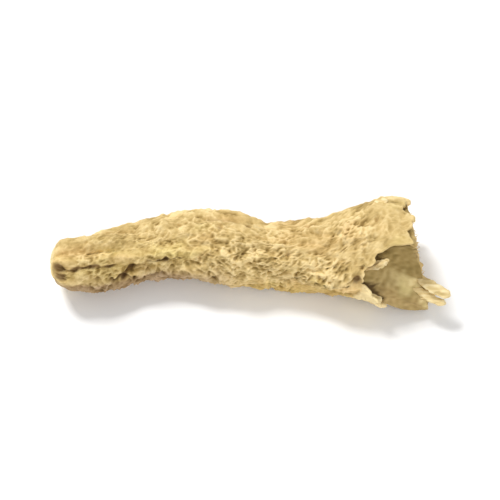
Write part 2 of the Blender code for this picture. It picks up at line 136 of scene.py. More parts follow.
# Smaller pits that only the dressed skin has: along, angle, radius, depth
SMALL_SCARS = (
    (7.26, 23, 0.37, 0.44), (7.62, 40, 0.14, 0.26), (8.74, 104, 0.17, 0.18), (4.35, 125, 0.18, 0.18),
    (-5.56, 33, 0.16, 0.22), (-3.74, 35, 0.15, 0.22), (-2.56, 15, 0.16, 0.20), (-1.24, 41, 0.15, 0.20),
    (-1.34, -14, 0.17, 0.20), (4.67, 25, 0.19, 0.26), (4.21, 34, 0.13, 0.18), (5.67, 43, 0.14, 0.20),
    (0.21, 53, 0.12, 0.14), (1.56, 50, 0.12, 0.14), (-5.19, 101, 0.15, 0.14), (-11.42, 6, 0.18, 0.24),
    (-7.47, 18, 0.18, 0.20), (-6.47, 8, 0.16, 0.20), (-8.1, 140, 0.18, 0.20), (0.2, 148, 0.20, 0.22),
    (4.6, 160, 0.18, 0.20), (9.6, 150, 0.22, 0.20), (-11.9, 120, 0.16, 0.18), (-10.2, 172, 0.20, 0.20),
    (-3.1, 205, 0.18, 0.20), (5.3, 215, 0.22, 0.20), (9.0, 232, 0.20, 0.20), (-12.5, 230, 0.20, 0.20),
)
# The round scar on the back where a side finger broke off: along, angle, radius
BRANCH_SCAR = (2.2, 186, 1.25)
# Its rim's height and width, its hollow's depth and where that has its side, widths in radii
BRANCH_RIM, BRANCH_RIM_WIDTH, BRANCH_HOLLOW, BRANCH_SIDE = 0.26, 0.30, 0.40, (0.35, 0.95)
# How far the torn end leans for each millimetre up, and for each to the back
TORN_LEAN_UP, TORN_LEAN_BACK = 0.16, 0.14
# Where the torn skin ends at the front of the flare: angle, and place along X. Below 0 it isn't the CAD's
TORN_EDGE = np.array([
    (-82, 13.6), (-70, 12.0), (-60, 10.6), (-50, 9.5), (-40, 8.9), (-30, 8.75), (-18, 8.7), (-8, 8.6),
    (2, 8.35), (13, 8.0), (22, 7.85), (32, 7.8), (43, 7.9), (50, 8.2), (57, 8.6), (63, 9.0), (67, 9.4),
    (72, 10.0), (77, 10.85), (83, 11.35), (92, 11.7), (102, 13.6),
])
# Teeth of the torn edge: height, width, seed
SKIN_TEETH = (0.20, 1.2, 5)
# How deep the torn face lies in its rim, and the share of its radius over which it sinks
FLESH_RECESS, RECESS_RUN = 0.20, 0.2
# Grain of the torn face: depth, width, seed
FLESH_GRAIN = (0.16, 1.1, 71)
# The flat of bare flesh below the torn skin: a point on it, the way out of it, and its grain, as for wrinkles
BARE_POINT = np.array((8.6, -3.15, 2.25))
BARE_OUT = np.array((0.23, -0.89, 0.39))
BARE_OUT /= np.linalg.norm(BARE_OUT)
BARE_GRAIN = (1.5, 2.0, 0.07, 83)
# The hollow and the ridge on it, at places along X and up
SCOOP_PLACE, SCOOP_RADIUS, SCOOP_DEPTH = (9.9, 3.9), 1.5, 0.50
RIDGE_FROM, RIDGE_TO, RIDGE_WIDTH, RIDGE_HEIGHT = np.array((9.5, 3.0)), np.array((13.3, 1.1)), 0.42, 0.26

# Finer relief that only the dressed piece has

# Points in a row round the finger, and rows on the blunt end's rounding and on the rest
AROUND, CAP_ROWS, SKIN_ROWS = 300, 34, 280
ANGLES = np.arange(AROUND) * FULL_TURN / AROUND
# How far in the skin's outward direction is measured
PROBE = 0.05
# Turns of the fine grain round the finger past the swelling, in radians a millimetre
GRAIN_SPIRAL, SPIRAL_FROM, SPIRAL_FULL = 0.14, -3.0, 3.0
# Nets of ropy ridges: width of a mesh, stretch, ridge height, seed
NETS = ((0.52, 1.20, 0.108, 3), (0.31, 1.20, 0.064, 9))
# The longer, softer nets at the back and underneath, and how deep their meshes are
BACK_NETS, BACK_HOLLOW = ((0.80, 2.8, 0.120, 21), (0.38, 2.2, 0.055, 25)), 0.25
# The middle angle of the front nets, and how far from it the back ones come in
FRONT_MIDDLE, BACK_RAMP = 20, (80, 115)
# A net without a grain: width, height, the share of a net half as wide, seed
CRUST = (0.60, 0.050, 0.5, 41)
# Where it comes in: along X at the blunt tip, and in radii of the round scar
CRUST_TIP_RAMP, CRUST_SCAR_RAMP = (BLUNT_X + 1.5, BLUNT_X + 0.4), (1.15, 0.85)
# A ridge's width in meshes, a mesh's depth in ridge heights, what the shallowest has of it, and its width
ROPE_WIDTH, MESH_DEPTH, MESH_LEAST, MESH_WIDTH = 0.27, 0.42, 0.4, 0.34
# How the nets bend, how they come and go: amount, width in meshes. What the seed gains between
NET_BEND, NET_BREAKS, NET_SEEDS = (0.24, 1.5), (0.30, 1.7), 5
# How whole the ridges are: in the middle, at least and at most
NET_MIDDLE, NET_LEAST, NET_MOST = 0.8, 0.2, 1.4
# Low lumps under the nets, and grit on them: width, stretch, height, seed
LUMPS = (0.9, 1.3, 0.022, 33)
GRIT = (0.20, 1.6, 0.014, 15)
# Short pits: spacing, stretch, radius as a share of the spacing, depth, seed
PITS = (1.0, 1.4, 0.16, 0.11, 27)
# How their sizes differ, how many are left out, and how much of the radius is floor
PIT_SIZES, PITS_LEFT_OUT, PIT_FLOOR = 2, 0.6, 0.25
# The smooth patch at the top of the flare: along, angle, half length, half width
SMOOTH_PATCH = (9.7, 88, 2.1, 1.9)
# How strong the fine relief is on it, what is added off it, and where
PATCH_STRENGTH, OFF_PATCH, PATCH_RAMP = 0.42, 0.58, (0.4, 1.3)
# How much paler the skin is where its fine relief is calm
CALM_PALER = 0.09
# The brown patch on the blunt end, where two roots stood: along, angle, half length, half width
BROWN_PATCH = (-13.6, 38, 0.52, 0.88)
# How deep a groove is fully darkened by painted shade, how much painted shade the crease and the round scar get,
# and where in the scar that fades
LOW_FULL, CREASE_SHADE, SCAR_SHADE, SCAR_SHADE_SIDE = 0.35, 0.6, 0.20, (0.55, 1.0)
# The pale crescent round the blunt end: how pale, and where it comes in
CRESCENT, CRESCENT_RAMP = 0.62, (-13.85, -14.25)
# How pale the torn edge is, how far behind it that starts, and its angles
EDGE_PALE, EDGE_RUN, EDGE_RAMP = 0.8, 0.7, (-35, 0)
# A long shallow groove on top of the flare, and its width
FLARE_CREASE = np.array([(6.9, 104, 0), (7.5, 103, 0.10), (8.2, 101, 0.13), (9.1, 105, 0.10), (9.7, 107, 0)])
FLARE_CREASE_WIDTH = 0.14
# How strong the painted shade is on the lip low on the front, along the finger, and its angles
LIP_SHADE = np.array([(-14.4, 0.3), (-13.2, 1.0), (-5.0, 1.0), (-2.8, 0.6), (-1.5, 0.25), (14.0, 0.2)])
LIP_SHADE_TOP_RAMP, LIP_SHADE_LOW_RAMP = (20, 0), (-100, -35)
# How strong the fine relief is along the finger, and where it starts at the blunt tip
FINE_STRENGTH = np.array([(-14.4, 0.3), (-13.0, 0.65), (-9.0, 0.80), (-5.0, 0.95), (0.0, 1.08), (14.0, 1.0)])
TIP_RAMP = (BLUNT_X, BLUNT_X + 0.9)
# How that changes: amount, stretch, width, seed. Its most
STRENGTH_CHANGES, STRENGTH_MOST = (0.22, 1.5, 3.0, 91), 1.5
# Small teeth along the torn edge: height, width, seed
FINE_TEETH = ((0.10, 0.50, 6), (0.05, 0.22, 7))
# The pale tongue of skin at the flare's lower front: its left side, as angle and place along X
TONGUE_SIDE = np.array([(-60, 8.6), (-45, 7.2), (-18, 6.9), (4, 7.35), (22, 7.7), (40, 9.0)])
# Its angles, how far from its left side it is full, and how much calmer its skin is
TONGUE_LOW_RAMP, TONGUE_TOP_RAMP, TONGUE_BLEND, TONGUE_CALMER = (-46, -30), (42, 28), 0.4, 0.4
# How it curls up: height, middle angle, run in degrees, and how far from the edge
TONGUE_CURL, CURL_RAMP = (0.26, -8, 26), (1.0, 0.0)
# The torn edge's thickness: how far past the edge, and how deep, its rows lie
TORN_WALL = ((0.02, 0.03), (0.03, 0.09), (0.015, 0.16), (-0.03, 0.21), (-0.15, 0.24), (-0.5, 0.25), (-1.0, 0.25))
# How deep the fine relief is gone, and how far behind the edge the inside closes
WALL_DEPTH, INNER_END = 0.25, 1.2


def ease(low, high, value):
    """0 below low, 1 above high, and an S curve between."""
    t = np.clip((value - low) / (high - low), 0, 1)
    return t * t * (3 - 2 * t)


def bump(distance, width):
    """A bell curve that is 1 where the distance is 0."""
    return np.exp(-((distance / width) ** 2))


def round_bump(degrees, height, middle, run):
    """A bell curve of a height round a middle angle."""
    return height * bump(degrees - middle, run)


def through(table, x, column=1):
    """A smooth curve through a table's rows: cubic spans with the neighbouring rows' slopes."""
    xs, ys = table[:, 0], table[:, column]
    slopes = np.gradient(ys, xs)
    i = np.clip(np.searchsorted(xs, x) - 1, 0, len(xs) - 2)
    span = xs[i + 1] - xs[i]
    t = np.clip((x - xs[i]) / span, 0, 1)
    start = (1 + 2 * t) * (1 - t) ** 2 * ys[i] + t * (1 - t) ** 2 * span * slopes[i]
    end = t * t * (3 - 2 * t) * ys[i + 1] - t * t * (1 - t) * span * slopes[i + 1]
    return start + end


def ripple(points, height, width, seed):
    """Smooth noise of a height: the sum of plane waves that run in seeded random directions."""
    draw = np.random.default_rng(seed)
    waves = draw.normal(size=(3, WAVES))
    waves *= FULL_TURN * draw.uniform(*WAVE_SPREAD, WAVES) / (width * np.linalg.norm(waves, axis=0))
    phases = draw.uniform(0, FULL_TURN, WAVES)
    return height * (np.cos(points @ waves + phases).sum(axis=-1) * np.sqrt(2 / WAVES))


# What mixes the bits of a cube's numbers, its seed and its part: factors, then shifts, each with its factor
CUBE_FACTORS = np.array([73856093, 19349663, 83492791], np.uint64)
SEED_FACTOR, PART_FACTOR = 2654435761, 40503
BIT_MIXING = ((15, 0x2C1B3C6D), (13, 0x297A2D39), (16, 1))
KEPT_BITS = 0xFFFFFF
# What makes every cube's numbers positive, and a distance beyond that of any neighbour
CUBE_SHIFT, FAR = 4096, 9.0


def scattered(cube, seed, part):
    """A seeded random value from 0 to 1 for each whole-number cube, by mixing the bits of its three numbers."""
    mixed = cube.astype(np.uint64) @ CUBE_FACTORS
    mixed += np.uint64(seed * SEED_FACTOR + part * PART_FACTOR)
    for shift, factor in BIT_MIXING:
        mixed ^= mixed >> np.uint64(shift)
        mixed *= np.uint64(factor)
    return (mixed & np.uint64(KEPT_BITS)).astype(float) / KEPT_BITS


def cells(points, seed):
    """Distance to the nearest and second nearest of one random point in each unit cube, and the nearest's value."""
    base = np.floor(points).astype(np.int64) + CUBE_SHIFT
    near = np.full(points.shape[:-1], FAR)
    second, value = near.copy(), near.copy()
    for step in np.ndindex(3, 3, 3):
        cube = base + np.array(step) - 1
        place = cube - CUBE_SHIFT + np.stack([scattered(cube, seed, part) for part in range(3)], axis=-1)
        distance = np.linalg.norm(place - points, axis=-1)
        closer = distance < near
        second = np.where(closer, near, np.minimum(second, distance))
        value = np.where(closer, scattered(cube, seed, 3), value)
        near = np.where(closer, distance, near)
    return near, second, value


# The finger's form, by the same formulas as the CAD solid


def on_tube(x, turned):
    """The place on the even tube at a distance along it and an angle round it."""
    return np.stack([x, -WRINKLE_RADIUS * np.cos(turned), WRINKLE_RADIUS * np.sin(turned)], axis=-1)


def skin_place(x, angle, longer):
    """Where a lengthwise pattern is read: on the even tube, twisted a little and squeezed along X."""
    return on_tube(x / longer, angle + WRINKLE_TWIST * x)


def wrinkles(x, angle, width, longer, depth, seed):
    """Rounded ridges with sharp valleys between them: the size of a smooth noise, whose zeros are the valleys."""
    noise = ripple(skin_place(x, angle, longer), 1.0, width, seed)
    return depth * (np.sqrt(noise * noise + VALLEY_SOFTNESS) - MIDDLE_LEVEL)


def wrapped(angle):
    """The angle in degrees, from -180 to 180."""
    return (np.degrees(angle) + 180) % 360 - 180


def round_gap(angle, degrees):
    """How far round the skin an angle lies past a centre given in degrees."""
    gap = (angle - np.radians(degrees) + np.pi) % FULL_TURN - np.pi
    return gap * WRINKLE_RADIUS


def off_round(x, angle, along, degrees, radius):
    """How far a place on the skin lies from a centre, in radii."""
    return np.hypot(x - along, round_gap(angle, degrees)) / radius


def off_oval(x, angle, along, degrees, half_length, half_width):
    """The same in a patch's half length along X and half width round the finger."""
    return np.hypot((x - along) / half_length, round_gap(angle, degrees) / half_width)


def along_line(line, x, angle, below, above):
    """A bell curve beside a line of (along, angle, depth) rows, as deep as the line says."""
    gap = round_gap(angle, through(line, x))
    inside = (x > line[0, 0]) & (x < line[-1, 0])
    return through(line, x, 2) * inside * bump(gap, np.where(gap > 0, above, below))


def cracks(x, angle):
    """How deep the cracks low on the front are: bell curves beside lines that wander, with ragged sides."""
    total = np.zeros_like(x)
    for bends in (CRACK_WANDER, CRACK_RAGGED):
        angle = angle + ripple(skin_place(x, angle, 1.0), *bends)
    for crack in FURROW_CRACKS:
        total += CRACK_DEEPER * along_line(crack, x, angle, CRACK_BELOW, CRACK_ABOVE)
    whole = 1 + ripple(skin_place(x, angle, 1.0), *CRACK_BREAKS)
    return total * np.clip(whole, CRACK_LEAST, CRACK_MOST)


def furrow(x, angle):
    """The hollow low on the front, the cracks in it and the raised folds beside it."""
    wander = angle + ripple(skin_place(x, angle, 1.0), *CRACK_WANDER)
    total = -along_line(FURROW_HOLLOW, x, wander, HOLLOW_BELOW, HOLLOW_ABOVE) - cracks(x, angle)
    for fold, width in FURROW_FOLDS:
        total += along_line(fold, x, angle, width, width)
    return total


def leaf_rings(x, angle):
    """Faint rings round the finger, each a narrow wandering groove."""
    total = np.zeros_like(x)
    place = np.stack([0 * x, np.cos(angle), np.sin(angle)], axis=-1)
    amount, width, seed = RING_WANDER
    for n, ring_x in enumerate(LEAF_RINGS):
        total -= RING_DEPTH * bump(x - ring_x - ripple(place, amount, width, seed + n), RING_WIDTH)
    return total


def scars(x, angle):
    """Pits of small roots, each a bell curve with a low lip round it."""
    total = np.zeros_like(x)
    lip, lip_place, lip_width = SCAR_LIP
    for *round_scar, depth in ROOT_SCARS + SMALL_SCARS:
        distance = off_round(x, angle, *round_scar)
        total += depth * (lip * bump(distance - lip_place, lip_width) - bump(distance, 1))
    return total


def branch_scar(x, angle):
    """The rimmed hollow of the side finger."""
    distance = off_round(x, angle, *BRANCH_SCAR)
    rim = BRANCH_RIM * bump(distance - 1, BRANCH_RIM_WIDTH)
    return rim - BRANCH_HOLLOW * (1 - ease(*BRANCH_SIDE, distance))


def relief(x, angle):
    """How far the skin stands out from the smooth tube. The worn underside is smoother than the rest."""
    width, longer, depth, seed = BROAD_HOLLOWS
    total = ripple(skin_place(x, angle, longer), depth, width, seed)
    total += wrinkles(x, angle, *MAIN_WRINKLES) + wrinkles(x, angle, *FINE_WRINKLES)
    total += leaf_rings(x, angle) + scars(x, angle) + branch_scar(x, angle)
    total += furrow(x, angle) - along_line(CREASE, x, angle, CREASE_WIDTH, CREASE_WIDTH)
    total -= along_line(FLARE_CREASE, x, angle, FLARE_CREASE_WIDTH, FLARE_CREASE_WIDTH)
    return total * (1 - WORN_SMOOTHER * ease(*WORN_RAMP, -np.sin(angle)))


def section(x):
    """Across, up, half width and half height of the smooth finger at x."""
    across, half_width, half_height = (through(STATIONS, x, column) for column in (1, 2, 3))
    return across, half_height - through(UNDERSIDE, x), half_width, half_height


def axis_point(x):
    """The point in the middle of the smooth finger at x."""
    return np.array([x, *section(x)[:2]])


def skin_point(x, angle, inset=0.0):
    """The point of the wrinkled skin at a distance along and an angle round, or inset below it."""
    across, up, half_width, half_height = section(x)
    before = np.clip((BLUNT_X + BLUNT_RADIUS - x) / BLUNT_RADIUS, 0, 1)
    rounding = np.sqrt(1 - before**2)
    out_y, out_z = -np.cos(angle) / half_width, np.sin(angle) / half_height
    size = np.hypot(out_y, out_z)
    smooth_y = across - rounding * half_width * np.cos(angle)
    smooth_z = up + rounding * half_height * np.sin(angle)
    smooth = np.stack([x, smooth_y, smooth_z], axis=-1)
    wrinkled = ease(*WRINKLES_RAMP, rounding)
    raised = wrinkled * relief(x, angle) + (1 - wrinkled) * ripple(smooth, *BLUNT_LUMPS) - inset
    outward = np.stack([-before, rounding * out_y / size, rounding * out_z / size], axis=-1)
    return smooth + raised[..., None] * outward


def torn_x(points):
    """Where the torn end lies along X, over the place of each point across and up."""
    across, up, _, _ = section(np.array(TORN_X))
    return TORN_X - TORN_LEAN_UP * (points[..., 2] - up) - TORN_LEAN_BACK * (points[..., 1] - across)


def bare_form(points):
    """How far the bare flesh stands out from its flat: grain, the hollow under the skin, and the ridge."""
    width, longer, depth, seed = BARE_GRAIN
    place = points[..., [0, 2]]
    run = RIDGE_TO - RIDGE_FROM
    share = np.clip((place - RIDGE_FROM) @ run / (run @ run), 0, 1)
    off_ridge = np.linalg.norm(place - RIDGE_FROM - share[..., None] * run, axis=-1)
    in_scoop = np.linalg.norm(place - SCOOP_PLACE, axis=-1)
    total = ripple(points / [longer, 1, 1], depth, width, seed)
    return total - SCOOP_DEPTH * bump(in_scoop, SCOOP_RADIUS) + RIDGE_HEIGHT * bump(off_ridge, RIDGE_WIDTH)


def flesh_point(x, angle, inset):
    """The point of the flesh under the skin, drawn in along its radius to the bare flat where it passes that."""
    across, up, _, _ = section(x)
    centre = np.stack([x, across, up], axis=-1)
    radius = skin_point(x, angle, inset) - centre
    room = (BARE_POINT - centre) @ BARE_OUT
    reach = np.maximum(radius @ BARE_OUT, LEAST)
    on_flat = centre + np.minimum(1, room / reach)[..., None] * radius
    share = np.minimum(1, (room + bare_form(on_flat)) / reach)
    return centre + share[..., None] * radius


def torn_edge(angle):
    """Where the skin ends along X at each angle: the torn line, with its large and small teeth."""
    rim_x = torn_x(skin_point(np.full_like(angle, TORN_X), angle))
    edge = np.minimum(through(TORN_EDGE, wrapped(angle)), rim_x)
    circle = WRINKLE_RADIUS * np.stack([0 * angle, np.cos(angle), np.sin(angle)], axis=-1)
    for teeth in (SKIN_TEETH, *FINE_TEETH):
        edge = edge + ripple(circle, *teeth)
    return edge


# The fine skin


def grain_place(x, angle, longer, width):
    """Where a fine pattern is read: as skin_place, but turning with the grain, in pattern widths."""
    run = np.maximum(x - SPIRAL_FROM, 0)
    ramp = SPIRAL_FULL - SPIRAL_FROM
    turned = angle - GRAIN_SPIRAL * np.where(run < ramp, run * run / (2 * ramp), run - ramp / 2)
    return on_tube(x / longer, turned) / width


def ropes(near, second, value, hollow, whole=1.0):
    """Ropy ridges where two cell points are about equally near, and hollows at the cell points."""
    return bump(second - near, ROPE_WIDTH) * whole - hollow * (MESH_LEAST + value) * bump(near, MESH_WIDTH)


def netted(x, angle, width, longer, height, seed, hollow=MESH_DEPTH):
    """A net of ropes that turns with the grain, bent and broken up by smooth noise."""
    place = grain_place(x, angle, longer, width)
    place = place + np.stack([ripple(place, *NET_BEND, seed + n) for n in range(3)], axis=-1)
    whole = np.clip(NET_MIDDLE + ripple(place, *NET_BREAKS, seed + NET_SEEDS), NET_LEAST, NET_MOST)
    return height * ropes(*cells(place, seed), hollow, whole)


def pitted(x, angle):
    """Short pits at seeded places, each with its own size; many cells have none."""
    spacing, longer, radius, depth, seed = PITS
    near, _, value = cells(grain_place(x, angle, longer, spacing), seed)
    size = radius * np.clip(PIT_SIZES * value - PITS_LEFT_OUT, 0, 1)
    return -depth * (1 - ease(PIT_FLOOR, 1.0, near / np.maximum(size, LEAST)))


def on_tongue(x, angle):
    """1 on the pale tongue of skin at the flare's lower front, and 0 off it."""
    degrees = wrapped(angle)
    across = ease(*TONGUE_LOW_RAMP, degrees) * ease(*TONGUE_TOP_RAMP, degrees)
    return across * ease(0.0, TONGUE_BLEND, x - through(TONGUE_SIDE, degrees))


def fine_strength(x, angle):
    """How strong the fine relief is: calmer on the smooth patch, the tongue and the blunt end."""
    strength = PATCH_STRENGTH + OFF_PATCH * ease(*PATCH_RAMP, off_oval(x, angle, *SMOOTH_PATCH))
    strength *= 1 - TONGUE_CALMER * on_tongue(x, angle)
    amount, longer, width, seed = STRENGTH_CHANGES
    strength *= through(FINE_STRENGTH, x) * (1 + ripple(skin_place(x, angle, longer), amount, width, seed))
    return np.clip(strength, 0, STRENGTH_MOST) * ease(*TIP_RAMP, x)


def crusted(x, angle):
    """A net with no grain, read at the place itself, on the blunt tip and on the side finger's scar."""
    width, height, finer, seed = CRUST
    on_scar = ease(*CRUST_SCAR_RAMP, off_round(x, angle, *BRANCH_SCAR))
    points = skin_point(x, angle)
    total = ropes(*cells(points / width, seed), MESH_DEPTH)
    total += finer * ropes(*cells(2 * points / width, seed + 1), MESH_DEPTH)
    return height * np.maximum(ease(*CRUST_TIP_RAMP, x), on_scar) * total


def fine_relief(x, angle):
    """The skin's fine relief: nets, pits, lumps and grit."""
    behind = ease(*BACK_RAMP, np.abs(wrapped(angle) - FRONT_MIDDLE))
    total = (1 - behind) * (pitted(x, angle) + sum(netted(x, angle, *net) for net in NETS))
    total += behind * sum(netted(x, angle, *net, hollow=BACK_HOLLOW) for net in BACK_NETS)
    for width, longer, height, seed in (LUMPS, GRIT):
        total += ripple(grain_place(x, angle, longer, width), height, 1.0, seed)
    return fine_strength(x, angle) * total + crusted(x, angle)


def lay_flat(points):
    """Keeps what would stand below the surface on it."""
    points[..., 2] = np.maximum(points[..., 2], 0)
    return points


def outward_of(x, angle):
    """The direction straight out of the smooth finger's skin."""
    return (skin_point(x, angle) - skin_point(x, angle, PROBE)) / PROBE


def placed(name, what):
    """A new object that holds a mesh, a lamp or a camera."""
    thing = bpy.data.objects.new(name, what)
    bpy.context.scene.collection.objects.link(thing)
    return thing


def smooth_piece(name, points, faces, marks):
    """A smooth-shaded piece of points in millimetres and faces. marks are point values for its material."""
    mesh = bpy.data.meshes.new(name)
    mesh.from_pydata(((points - MIDDLE) * MM).tolist(), [], faces)
    for mark, values in marks.items():
        mesh.attributes.new(mark, "FLOAT", "POINT").data.foreach_set("value", values.astype(np.float32))
    mesh.shade_smooth()
    return placed(name, mesh)


def closed_tube(name, rows, first_pole, last_pole, marks):
    """A piece from rows of points round a line, closed by a fan to a pole at each end."""
    count, around = rows.shape[:2]
    points = np.concatenate([[first_pole], rows.reshape(-1, 3), [last_pole]])
    first = 1 + np.arange(count * around).reshape(count, around)
    after = np.roll(first, -1, axis=1)
    quads = np.stack([first[:-1], first[1:], after[1:], after[:-1]], axis=-1).reshape(-1, 4)
    start = np.stack([np.zeros(around, int), first[0], after[0]], axis=-1)
    end = np.stack([np.full(around, len(points) - 1), after[-1], first[-1]], axis=-1)
    faces = quads.tolist() + start.tolist() + end.tolist()
    marks = {mark: np.concatenate([row[0, :1], row.reshape(-1), row[-1, :1]]) for mark, row in marks.items()}
    return smooth_piece(name, points, faces, marks)


def skin_marks(x, angle, edge, fine, curl):
    """What the skin's material reads: the rise, how deep in a groove for its painted shade, how near the edge, the
    painted shade low on the front, and how pale.
    """
    # low: painted shade in the cracks, pits, crease and round scar, and the brown patch on the blunt end
    low = cracks(x, angle) - scars(x, angle)
    low += CREASE_SHADE * along_line(CREASE, x, angle, CREASE_WIDTH, CREASE_WIDTH)
    low += LOW_FULL * bump(off_oval(x, angle, *BROWN_PATCH), 1)
    low += SCAR_SHADE * (1 - ease(*SCAR_SHADE_SIDE, off_round(x, angle, *BRANCH_SCAR)))
    degrees = wrapped(angle)
    near_edge = np.clip(1 - (edge - x) / EDGE_RUN, 0, 1)
    marks = {
        "rise": fine + curl + CALM_PALER * (1 - np.clip(fine_strength(x, angle), 0, 1)),
        "low": np.clip(low / LOW_FULL, 0, 1),
        "edge": near_edge * (EDGE_PALE * ease(*EDGE_RAMP, degrees)),
        "lip_shade": through(LIP_SHADE, x) * ease(*LIP_SHADE_TOP_RAMP, degrees) * ease(*LIP_SHADE_LOW_RAMP, degrees),
        "pale": np.maximum(on_tongue(x, angle), CRESCENT * ease(*CRESCENT_RAMP, x)),
    }
    wall = np.ones((len(TORN_WALL), 1))
    return {mark: np.concatenate([rows, rows[-1:] * wall * (mark != "low")]) for mark, rows in marks.items()}


def root_skin():
    """The skin: rows from the blunt tip to the torn edge, over its thickness, and back inside."""
    edge = torn_edge(ANGLES)
    turn = np.linspace(0, np.pi / 2, CAP_ROWS + 1)[1:, None]
    cap = BLUNT_X + BLUNT_RADIUS * (1 - np.cos(turn)) + 0 * ANGLES
    body = cap[-1] + np.linspace(0, 1, SKIN_ROWS + 1)[1:, None] * (edge - cap[-1])
    x = np.concatenate([cap, body])
    angle = ANGLES + 0 * x
    fine = fine_relief(x, angle)
    curl = round_bump(wrapped(ANGLES), *TONGUE_CURL) * ease(*CURL_RAMP, edge - x)
    rows = skin_point(x, angle) + (fine + curl)[..., None] * outward_of(x, angle)
    wall = [
        skin_point(edge + past, ANGLES, deep - curl[-1] - fine[-1] * (1 - deep / WALL_DEPTH))
        for past, deep in TORN_WALL
    ]
    rows = lay_flat(np.concatenate([rows, wall]))
    poles = axis_point(BLUNT_X), axis_point(edge.min() - INNER_END)
    return closed_tube("root_skin", rows, *poles, skin_marks(x, angle, edge, fine, curl))


# The torn end

# How far below the skin's surface the flesh lies at each angle
FLESH_INSET = np.array([
    (-180, 0.18), (-75, 0.10), (-60, -0.05), (-45, -0.06), (-28, 0.05), (-8, 0.2), (10, 0.31), (58, 0.31),
    (72, 0.14), (110, 0.14), (180, 0.18),
])
# How deep it lies under the skin, and how far past the skin's edge it comes up from there
HIDDEN_INSET, RISING_RUN = 0.32, 0.5
# How far it ends behind the skin at the upper front, with that part's middle and run in degrees
FLESH_BACK = (0.28, 82, 24)
# How far it goes on inside the skin, in how many rows, and how far past them it closes
HIDDEN_RUN, HIDDEN_ROWS, HIDDEN_END = 1.6, 6, 0.3
# How wide the bare flesh is where the gap starts, and where the hidden rows lie deep
GAP_BARED, HIDDEN_BARED = 1, 0.2
# Rows from the skin's edge to the middle of the torn face, and rounds in which its rim is found
FLESH_ROWS, RIM_TRIES = 190, 5
# Fibres in the flesh: width, stretch, depth, seed. The share of the flat where they start
FLESH_FIBRES, FIBRES_IN = (0.22, 6.0, 0.007, 51), 0.05
# Crumbs on the flesh: height, width, seed, and how much higher they are on the torn face
FLESH_CRUMB, FACE_CRUMB = (0.014, 0.45, 53), 2
# How high the flat and the torn face are fully pale
FIBRE_RISE, FACE_RISE = 0.04, 0.1
# The line between the dark hollow above and the painted highlight along the ridge below: along X, and height
HIGHLIGHT_LINE = np.array([(8.0, 3.9), (10.1, 3.45), (11.74, 2.55), (12.2, 1.7), (13.7, 0.8)])
# How it wanders: amount, width, seed. Where below it the painted highlight comes in, where the tan comes in, and
# how much the tan dims the highlight
HIGHLIGHT_WANDER, HIGHLIGHT_RAMP, TAN_RAMP, TAN_DULLER = (0.12, 1.0, 59), (-0.2, 0.3), (0.6, 1.5), 0.7
# How strong the painted highlight is at the left, what the right adds, where along X, and how pale the torn face is
HIGHLIGHT_LEFT, HIGHLIGHT_MORE, HIGHLIGHT_RIGHT_RAMP, FACE_PALE = 0.15, 0.85, (9.3, 10.7), 0.5
# The shade by the skin's edge: how far it reaches, and its strength, middle and run in degrees
SHADE_RUN, EDGE_SHADES = 0.55, ((1.0, 52, 16), (0.55, 5, 30))
# The shade low at the left: its strength, and where it is along X and below the line
LEFT_SHADE, LEFT_RAMP, LEFT_LOW_RAMP = 0.42, (10.0, 8.9), (0.3, 1.2)
# The gap behind the skin's edge: depth, how far past the edge, width, middle and run in degrees
SKIN_GAP = (0.55, 0.18, 0.24, 54, 14)
# Ends of the fibre strands in the torn face: spacing, height, the least share of it, seed
STRAND_ENDS = (0.46, 0.15, 0.3, 57)
# A strand's side in spacings, and the share of the radius over which strands come in
STRAND_SIDE, STRANDS_RAMP = (0.10, 0.34), (0.02, 0.1)
# The ring that bounds the core: its share of the radius, width and depth, and how it wanders
CORE_RING, CORE_RING_WIDTH, CORE_RING_DEPTH = 0.66, 0.035, 0.09
CORE_WANDER = (0.03, 1.4, 58)


def bare_fibres(points):
    """Fine fibres that run with the ridge on the bare flat: narrow across its slope and long beside it."""
    width, longer, depth, seed = FLESH_FIBRES
    run = (RIDGE_TO - RIDGE_FROM) / np.linalg.norm(RIDGE_TO - RIDGE_FROM)
    place = points[..., [0, 2]] - RIDGE_FROM
    across = place @ np.array([-run[1], run[0]])
    flow = np.stack([place @ run / longer, across, points[..., 1] / 2], axis=-1)
    return ripple(flow, depth, width, seed) + ripple(points, *FLESH_CRUMB)


def torn_face(face, share):
    """The torn face: sunk inside its rim, with grain, strand ends and the core's ring. Also what rises on it."""
    flat = face * [0, 1, 1]
    sunk = (FLESH_RECESS - ripple(flat, *FLESH_GRAIN)) * ease(0, RECESS_RUN, 1 - share)
    spacing, height, least, seed = STRAND_ENDS
    near, _, value = cells(flat / spacing, seed)
    stubs = height * (least + value) * (1 - ease(*STRAND_SIDE, near)) * ease(*STRANDS_RAMP, 1 - share)
    ring_groove = CORE_RING_DEPTH * bump(share - CORE_RING - ripple(flat, *CORE_WANDER), CORE_RING_WIDTH)
    face[..., 0] = torn_x(face) - sunk + stubs - ring_groove + FACE_CRUMB * ripple(flat, *FLESH_CRUMB)
    return face, stubs - ring_groove


